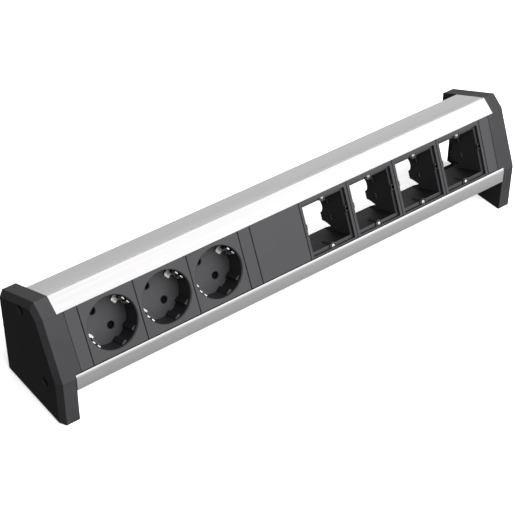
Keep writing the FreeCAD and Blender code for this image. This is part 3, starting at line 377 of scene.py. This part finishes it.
def place_on_points(tree, given, out, shape):
    """Instances the shape on the points, along their facing, each turned by its own angle."""
    facing = tree.add("GeometryNodeInputNamedAttribute", {"data_type": "FLOAT_VECTOR"}, Name=FACING)
    upright = tree.add("FunctionNodeAlignRotationToVector", {"axis": "Z"}, Vector=facing.outputs[0])
    angle = tree.add("FunctionNodeRandomValue", {"data_type": "FLOAT"}, Seed=given["Seed"])
    angle.inputs[3].default_value = math.tau
    spin = tree.add("FunctionNodeAxisAngleToRotation", None, Axis=(0, 0, 1), Angle=angle.outputs[1])
    turn = tree.add("FunctionNodeRotateRotation", {"rotation_space": "LOCAL"},
                    Rotation=upright.outputs[0], Rotate_By=spin.outputs[0])
    copies = tree.add("GeometryNodeInstanceOnPoints", None, Points=given["Points"], Instance=shape,
                      Rotation=turn.outputs[0])
    real = tree.add("GeometryNodeRealizeInstances", None, Geometry=copies.outputs[0])
    dressed = tree.add("GeometryNodeSetMaterial", None, Geometry=real.outputs[0], Material=given["Finish"])
    tree.put(out, "Pieces", dressed.outputs[0])
    return tree.tree


def screw_tree():
    """Pan-head screw: domed head with a cross recess, core, and a rolled thread round it."""
    tree, given, out = build_tree("pan_head_screw", [
        ("Head Radius", 0.002), ("Head Height", 0.0015), ("Shank Radius", 0.0013), ("Length", 0.009),
        ("Pitch", 0.0006), ("Thread Length", 0.006), ("Drive Width", 0.0004), ("Drive Depth", 0.0008)])
    head, height, length = given["Head Radius"], given["Head Height"], given["Length"]
    ridge = tree.math("MULTIPLY", given["Pitch"], 0.4)
    core = tree.math("SUBTRACT", given["Shank Radius"], ridge)
    land = tree.math("MULTIPLY", height, 0.3)
    chamfer = tree.math("MULTIPLY", head, 0.96)
    end = tree.math("MULTIPLY", length, -1.0)
    neck = tree.math("ADD", end, core)
    crown = tree.add("GeometryNodeCurveQuadraticBezier", None, Resolution=12, Start=spot(tree, 0.0, height),
                     Middle=spot(tree, head, height), End=spot(tree, head, land)).outputs[0]
    corners = [spot(tree, head, land), spot(tree, head, tree.math("MULTIPLY", land, 0.3)),
               spot(tree, chamfer, 0.0), spot(tree, core, 0.0), spot(tree, core, neck),
               spot(tree, 0.0, end)]
    sides = [straight(tree, a, b) for a, b in zip(corners, corners[1:])]
    turned = lathe(tree, [crown, *sides], 32)

    wide = tree.math("MULTIPLY", head, 1.15)
    deep = tree.math("MULTIPLY", given["Drive Depth"], 2.0)
    recess = tree.add("GeometryNodeMeshBoolean", {"operation": "DIFFERENCE", "solver": "EXACT"})
    tree.put(recess, "Mesh 1", turned)
    for quarter in (0, 1):
        size = (wide, given["Drive Width"]) if quarter else (given["Drive Width"], wide)
        block = tree.add("GeometryNodeMeshCube", None, Size=tree.add(
            "ShaderNodeCombineXYZ", None, X=size[0], Y=size[1], Z=deep).outputs[0])
        raised = tree.add("GeometryNodeTransform", None, Geometry=block.outputs[0], Translation=tree.add(
            "ShaderNodeCombineXYZ", None, Z=height).outputs[0])
        tree.put(recess, "Mesh 2", raised.outputs[0])

    turns = tree.math("DIVIDE", given["Thread Length"], given["Pitch"])
    helix = tree.add("GeometryNodeCurveSpiral", None, Resolution=18, Rotations=turns, Start_Radius=core,
                     End_Radius=core, Height=given["Thread Length"])
    low = tree.add("GeometryNodeTransform", None, Geometry=wire(tree, helix.outputs[0], ridge, 4),
                   Translation=tree.add("ShaderNodeCombineXYZ", None, Z=neck).outputs[0])
    both = tree.add("GeometryNodeJoinGeometry")
    tree.put(both, "Geometry", low.outputs[0])
    tree.put(both, "Geometry", recess.outputs[0])
    return place_on_points(tree, given, out, both.outputs[0])


def coil_tree():
    """Close-wound torsion coil of round wire, centred on its point."""
    tree, given, out = build_tree("torsion_coil", [("Coil Radius", 0.0026), ("Wire Radius", 0.0003),
                                                   ("Turns", 2.0), ("Height", 0.0012)])
    helix = tree.add("GeometryNodeCurveSpiral", None, Resolution=40, Rotations=given["Turns"],
                     Start_Radius=given["Coil Radius"], End_Radius=given["Coil Radius"],
                     Height=given["Height"])
    middle = tree.add("ShaderNodeCombineXYZ", None, Z=tree.math("MULTIPLY", given["Height"], -0.5))
    turns = wire(tree, helix.outputs[0], given["Wire Radius"], 12)
    coil = tree.add("GeometryNodeTransform", None, Geometry=turns, Translation=middle.outputs[0])
    return place_on_points(tree, given, out, coil.outputs[0])


def grow(name, tree, points, facings, finish, seed=1, **sizes):
    """Runs a tree on a few points and returns the result as a plain mesh object."""
    mesh = bpy.data.meshes.new(name)
    mesh.from_pydata(points, [], [])
    facing = mesh.attributes.new(FACING, "FLOAT_VECTOR", "POINT")
    facing.data.foreach_set("vector", [value for axis in facings for value in axis])
    piece = bpy.data.objects.new(name, mesh)
    bpy.context.scene.collection.objects.link(piece)
    modifier = piece.modifiers.new("build", "NODES")
    modifier.node_group = tree
    values = {"Seed": seed, "Finish": finish}
    values.update({key.replace("_", " "): value for key, value in sizes.items()})
    for item in tree.interface.items_tree:
        if item.name in values:
            modifier[item.identifier] = values[item.name]
    settled(piece)
    return piece


def settled(piece):
    """Applies a piece's modifiers, merges doubles and turns its faces outwards."""
    deps = bpy.context.evaluated_depsgraph_get()
    mesh = bpy.data.meshes.new_from_object(piece.evaluated_get(deps), depsgraph=deps)
    piece.modifiers.clear()
    shape = bmesh.new()
    shape.from_mesh(mesh)
    bmesh.ops.remove_doubles(shape, verts=shape.verts, dist=SAME_POINT)
    bmesh.ops.recalc_face_normals(shape, faces=shape.faces)
    shape.to_mesh(mesh)
    shape.free()
    mesh.shade_smooth()
    mesh.set_sharp_from_angle(angle=SHARP)
    mesh.name = piece.name
    piece.data = mesh


def fit(piece, body, slot, *nodes):
    """Puts a finished piece on its body in place of the plain nodes."""
    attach(piece, body)
    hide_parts(*nodes)


def islands(node):
    """Corner points of each separate solid in a node."""
    shape = bmesh.new()
    shape.from_mesh(frame["nodes"][node].data)
    bmesh.ops.remove_doubles(shape, verts=shape.verts, dist=SAME_CORNER)
    left = set(shape.verts)
    found = []
    while left:
        edge = [left.pop()]
        island = []
        while edge:
            vert = edge.pop()
            island.append(vert.co.copy())
            near = {other for link in vert.link_edges for other in link.verts} & left
            left -= near
            edge.extend(near)
        found.append(island)
    shape.free()
    return sorted(found, key=lambda points: tuple(round(value, 4) for value in min(points)))


def turned_sizes(points, axis):
    """Axis point, and each corner's distance from the axis and height along it."""
    heights = [point.dot(axis) for point in points]
    across = [point - axis * height for point, height in zip(points, heights)]
    middle = Vector([(min(values) + max(values)) / 2 for values in zip(*across)])
    return middle, [(point - middle).length for point in across], heights


def screw_set(name, node, axis_of, slot, finish, pitch, drive):
    """Screws with real heads and threads in place of a node's plain ones; one run for each length."""
    lots = {}
    for points in islands(node):
        axis = axis_of(points)
        middle, reaches, heights = turned_sizes(points, axis)
        head = max(reaches)
        seat = min(height for reach, height in zip(reaches, heights) if reach > HEAD_RIM * head)
        shank = max(reach for reach, height in zip(reaches, heights) if height < seat - SEAT_GAP)
        sizes = (head, max(heights) - seat, shank, seat - min(heights))
        lots.setdefault(tuple(round(size, 5) for size in sizes), []).append((middle + axis * seat, axis))
    runs = []
    for seed, ((head, height, shank, length), places) in enumerate(sorted(lots.items())):
        runs.append(grow(f"{name}_{seed}", TREES["screw"], *zip(*places), finish, seed, Head_Radius=head,
                         Head_Height=height, Shank_Radius=shank, Length=length, Pitch=pitch,
                         Thread_Length=min(0.8 * length, LONGEST_THREAD), Drive_Width=drive,
                         Drive_Depth=0.55 * height))
    piece = joined(name, runs)
    fit(piece, BODY, slot, node)


def joined(name, parts):
    """One object from several, under a name of its own."""
    with bpy.context.temp_override(active_object=parts[0], selected_editable_objects=parts):
        bpy.ops.object.join()
    parts[0].name = name
    parts[0].data.name = name
    return parts[0]


def outwards_along_x(points):
    return Vector((1.0 if points[0].x > 0 else -1.0, 0, 0))


def screws(finishes):
    screw_set("cross_recess_frame_screws", "frame_screws", lambda points: OUT, "zinc_screw",
              finishes["zinc"], 0.5 * MM, 0.42 * MM)
    screw_set("long_housing_screws", "housing_screws", lambda points: -OUT, "zinc_screw",
              finishes["zinc"], 0.8 * MM, 0.6 * MM)
    screw_set("sunk_cap_screws", "end_cap_screws", outwards_along_x, "black_screw",
              finishes["black"], 1.1 * MM, 0.85 * MM)


def shutter_coils(finish):
    """Torsion coils that turn the shutters back."""
    for number in SOCKETS:
        node = f"shutter_spring_{number}"
        middle, reaches, heights = turned_sizes(islands(node)[0], OUT)
        wire_r = (max(reaches) - min(reaches)) / 2
        room = max(heights) - min(heights)
        centre = middle + OUT * (max(heights) + min(heights)) / 2
        run = room - 2 * wire_r
        piece = grow(f"wound_shutter_spring_{number}", TREES["coil"], [centre], [OUT], finish,
                     Coil_Radius=max(reaches) - wire_r, Wire_Radius=0.94 * wire_r,
                     Turns=round(run / (2 * wire_r)) + 0.15, Height=run)
        fit(piece, f"shutter_{number}", "spring_steel", node)


def eased(name, node, slot, finish):
    """Merged copy of a plain node with its outside corners eased by a small real bevel."""
    shape = bmesh.new()
    shape.from_mesh(frame["nodes"][node].data)
    bmesh.ops.remove_doubles(shape, verts=shape.verts, dist=EASE_MERGE)
    bmesh.ops.dissolve_limit(shape, angle_limit=FLAT, verts=shape.verts, edges=shape.edges)
    mesh = bpy.data.meshes.new(name)
    shape.to_mesh(mesh)
    shape.free()
    mesh.shade_smooth()
    mesh.materials.append(finish)
    piece = bpy.data.objects.new(name, mesh)
    bpy.context.scene.collection.objects.link(piece)
    bevel = piece.modifiers.new("ease", "BEVEL")
    bevel.width = EASE
    bevel.segments = 2
    bevel.limit_method = "ANGLE"
    bevel.angle_limit = CORNER
    bevel.miter_outer = "MITER_ARC"
    weigh = piece.modifiers.new("flats", "WEIGHTED_NORMAL")
    weigh.keep_sharp = True
    weigh.weight = 100
    deps = bpy.context.evaluated_depsgraph_get()
    done = bpy.data.meshes.new_from_object(piece.evaluated_get(deps), preserve_all_data_layers=True,
                                           depsgraph=deps)
    piece.modifiers.clear()
    done.name = name
    piece.data = done
    fit(piece, BODY, slot, node)


# ---- materials -----------------------------------------------------------------------------
def start_material(name):
    material = bpy.data.materials.new(name)
    material.use_nodes = True
    tree = Tree(material.node_tree)
    shader = material.node_tree.nodes["Principled BSDF"]
    place = tree.add("ShaderNodeTexCoord").outputs["Object"]
    return material, tree, shader, place


def inner_walls(tree, place, start=0.0008):
    """Mask of the lower walls that run in from the panel, where painted shade darkens the colour."""
    normal = tree.add("ShaderNodeTexCoord").outputs["Normal"]
    upwards = tree.vector("DOT_PRODUCT", normal, UP, "Value")
    depth = tree.math("SUBTRACT", PANEL, tree.vector("DOT_PRODUCT", place, OUT, "Value"))
    lower = tree.ramp(upwards, 0.1, 0.6)
    return tree.math("MULTIPLY", lower, tree.ramp(depth, start, 2 * start))


def moulded(name, tone, light, rough, grain=2600.0, bump=0.12, edge=0.0006, specular=0.5, wear_and_highlight=0.35,
            wall_shade=None):
    """Moulded plastic: two close tones, spark-eroded grain, edges lightened as wear and painted highlight,
    lower inner walls darkened as painted shade.
    """
    material, tree, shader, place = start_material(name)
    grained = use(tree, "moulded_grain", Vector=place, Grain=grain)
    edges = use(tree, "edge_highlight_and_wear", Vector=place, Radius=edge)
    marks = use(tree, "handling_marks", Vector=place, Amount=0.25)
    cloud = tree.ramp(grained["Clouding"], 0.35, 0.65)
    base = tree.blend(cloud, (*tone, 1), (*light, 1))
    # Painted shade: the lower inner walls take a darker copy of the tone.
    if wall_shade:
        base = tree.blend(inner_walls(tree, place), base, tuple(wall_shade * c for c in tone) + (1,))
    pale = tuple(min(1.0, c * 2.2 + 0.01) for c in light)
    # Edges and dust specks lightened: the edges partly wear, partly painted highlight.
    painted_highlight_and_wear = tree.math("MULTIPLY", edges["Edge"], wear_and_highlight)
    base = tree.blend(tree.math("ADD", painted_highlight_and_wear, tree.math("MULTIPLY", marks["Specks"], 0.5)), base, (*pale, 1))
    tree.put(shader, "Base Color", base)
    sheen = tree.math("MULTIPLY_ADD", tree.math("SUBTRACT", cloud, 0.5), 0.06, rough)
    sheen = tree.math("MULTIPLY_ADD", edges["Edge"], -0.08, sheen)
    tree.put(shader, "Roughness", tree.math("MULTIPLY_ADD", grained["Height"], 0.08, sheen))
    shader.inputs["Specular IOR Level"].default_value = specular
    relief = tree.add("ShaderNodeBump", None, Strength=bump, Distance=0.00006, Height=grained["Height"],
                      Normal=edges["Normal"])
    tree.put(shader, "Normal", relief.outputs["Normal"])
    return material


def aluminium():
    """Satin natural anodised extrusion with fine lines along the strip."""
    material, tree, shader, place = start_material("satin_anodised")
    drawn = use(tree, "drawn_lines", Vector=place)
    edges = use(tree, "edge_highlight_and_wear", Vector=place, Radius=0.00012)
    marks = use(tree, "handling_marks", Vector=place, Amount=0.3)
    tone = tree.ramp(drawn["Tone"], 0.3, 0.7)
    base = tree.blend(tone, (0.715, 0.705, 0.705, 1), (0.775, 0.765, 0.765, 1))
    # Edges lightened: partly wear, partly painted highlight.
    base = tree.blend(tree.math("MULTIPLY", edges["Edge"], 0.4), base, (0.90, 0.90, 0.90, 1))
    base = tree.blend(tree.math("MULTIPLY", marks["Hairlines"], 0.15), base, (0.5, 0.5, 0.5, 1))
    tree.put(shader, "Base Color", base)
    shader.inputs["Metallic"].default_value = 1.0
    tree.put(shader, "Roughness", tree.math("MULTIPLY_ADD", tone, -0.04, 0.43))
    shader.inputs["Anisotropic"].default_value = 0.3
    relief = tree.add("ShaderNodeBump", None, Strength=0.05, Distance=0.00003, Height=drawn["Height"])
    tree.put(shader, "Normal", relief.outputs["Normal"])
    return material


def plated(name, tone, light, rough, streak=(900.0, 60.0, 900.0)):
    """Plated or bare metal strip with rolling streaks and a little tarnish."""
    material, tree, shader, place = start_material(name)
    edges = use(tree, "edge_highlight_and_wear", Vector=place, Radius=0.0002)
    streaks = tree.noise(tree.vector("MULTIPLY", place, streak), 1.0, 3.0, 0.6)
    tarnish = tree.ramp(tree.noise(place, 160.0, 4.0, 0.6), 0.45, 0.75)
    base = tree.blend(streaks, (*tone, 1), (*light, 1))
    dull = tuple(c * 0.6 for c in tone)
    base = tree.blend(tree.math("MULTIPLY", tarnish, 0.35), base, (*dull, 1))
    tree.put(shader, "Base Color", base)
    shader.inputs["Metallic"].default_value = 1.0
    uneven = tree.math("MULTIPLY_ADD", tarnish, 0.12, rough)
    tree.put(shader, "Roughness", tree.math("MULTIPLY_ADD", streaks, 0.06, uneven))
    relief = tree.add("ShaderNodeBump", None, Strength=0.12, Distance=0.00003, Height=streaks,
                      Normal=edges["Normal"])
    tree.put(shader, "Normal", relief.outputs["Normal"])
    return material


def rubber():
    """Matt pad with a fine pebbled face and a trace of dust."""
    material, tree, shader, place = start_material("pad_rubber")
    pebbles = tree.add("ShaderNodeTexVoronoi", None, Vector=place, Scale=1500.0).outputs["Distance"]
    dusty = tree.ramp(tree.noise(place, 120.0, 4.0), 0.5, 0.8)
    base = tree.blend(tree.math("MULTIPLY", dusty, 0.4), (0.014, 0.014, 0.014, 1), (0.05, 0.048, 0.045, 1))
    tree.put(shader, "Base Color", base)
    tree.put(shader, "Roughness", tree.math("MULTIPLY_ADD", dusty, 0.1, 0.78))
    relief = tree.add("ShaderNodeBump", None, Strength=0.3, Distance=0.0001, Height=pebbles)
    tree.put(shader, "Normal", relief.outputs["Normal"])
    return material


def dress(node, material):
    """Gives a carried-over node its finish."""
    mesh = frame["nodes"][node].data
    mesh.materials.clear()
    mesh.materials.append(material)


MODULE_TONES = ((0.029, 0.029, 0.0315), (0.034, 0.034, 0.0365))


def make_finishes():
    """Every finish on the strip, by a short name."""
    return {
        "cap": moulded("cap_plastic", (0.032, 0.032, 0.0345), (0.038, 0.038, 0.0405), 0.55, 2400.0,
                       0.14, 0.0007, specular=0.15),
        "module": moulded("module_plastic", *MODULE_TONES, 0.50, 3000.0, 0.08, 0.0004),
        # The socket and frame plastics darken their lower inner walls as painted shade.
        "socket": moulded("socket_plastic", *MODULE_TONES, 0.50, 3000.0, 0.08, 0.0004, wall_shade=0.35),
        "opened": moulded("frame_plastic", (0.037, 0.037, 0.0395), (0.043, 0.043, 0.0455), 0.52, 3000.0, 0.08,
                          0.0004, specular=0.22, wall_shade=0.12),
        "rear": moulded("housing_plastic", (0.012, 0.012, 0.012), (0.018, 0.018, 0.018), 0.62, 1700.0, 0.2),
        "inlet": moulded("inlet_plastic", (0.010, 0.010, 0.010), (0.014, 0.014, 0.014), 0.42, 3200.0, 0.06),
        "carrier": moulded("carrier_plastic", (0.55, 0.53, 0.47), (0.63, 0.61, 0.55), 0.5, 2600.0, 0.08),
        "slick": moulded("shutter_plastic", (0.0015, 0.0015, 0.0016), (0.0025, 0.0025, 0.0026), 0.6,
                         3200.0, 0.03, specular=0.1, wear_and_highlight=0.05),
        "satin": aluminium(),
        "pads": rubber(),
        "nickel": plated("nickel_plate", (0.74, 0.73, 0.71), (0.88, 0.87, 0.85), 0.34),
        "brass": plated("contact_brass", (0.60, 0.42, 0.16), (0.74, 0.55, 0.25), 0.28, (60.0, 900.0, 900.0)),
        "pins": plated("pin_plate", (0.68, 0.67, 0.65), (0.82, 0.81, 0.79), 0.2, (900.0, 900.0, 60.0)),
        "zinc": plated("zinc_screw", (0.72, 0.74, 0.77), (0.90, 0.92, 0.94), 0.26),
        "black": plated("black_screw", (0.035, 0.035, 0.035), (0.07, 0.07, 0.07), 0.4),
        "spring": plated("spring_steel", (0.45, 0.45, 0.45), (0.62, 0.62, 0.62), 0.25),
    }


def dress_nodes(finishes):
    """Gives each carried-over node that stays in sight its finish; its replacements bring theirs."""
    wanted = {"end_cap_left": "cap", "end_cap_right": "cap", "foot_pads": "pads", "filler_left": "module",
              "filler_middle": "module", "filler_right": "module", "blank_module": "module",
              "junction_box": "rear", "inlet_shell": "inlet", "neutral_pin": "pins", "earth_pin": "pins",
              "line_pin": "pins", "neutral_bar": "brass", "line_bar": "brass", "earth_bar": "brass"}
    for number in SOCKETS:
        for node, finish in (("socket_cover", "socket"), ("shutter", "slick"), ("contact_carrier", "carrier"),
                             ("earth_clip", "nickel"), ("socket_housing", "rear")):
            wanted[f"{node}_{number}"] = finish
    for number in FRAMES:
        wanted[f"module_frame_{number}"] = "opened"
    for node, finish in wanted.items():
        dress(node, finishes[finish])


bpy.context.scene.view_settings.view_transform = "Standard"
camera()
studio()
floor()
finishes = make_finishes()
dress_nodes(finishes)
TREES = {"screw": screw_tree(), "coil": coil_tree()}
screws(finishes)
shutter_coils(finishes["spring"])
eased("top_extrusion", "top_profile", "anodised_aluminium", finishes["satin"])
eased("bottom_extrusion", "bottom_profile", "anodised_aluminium", finishes["satin"])
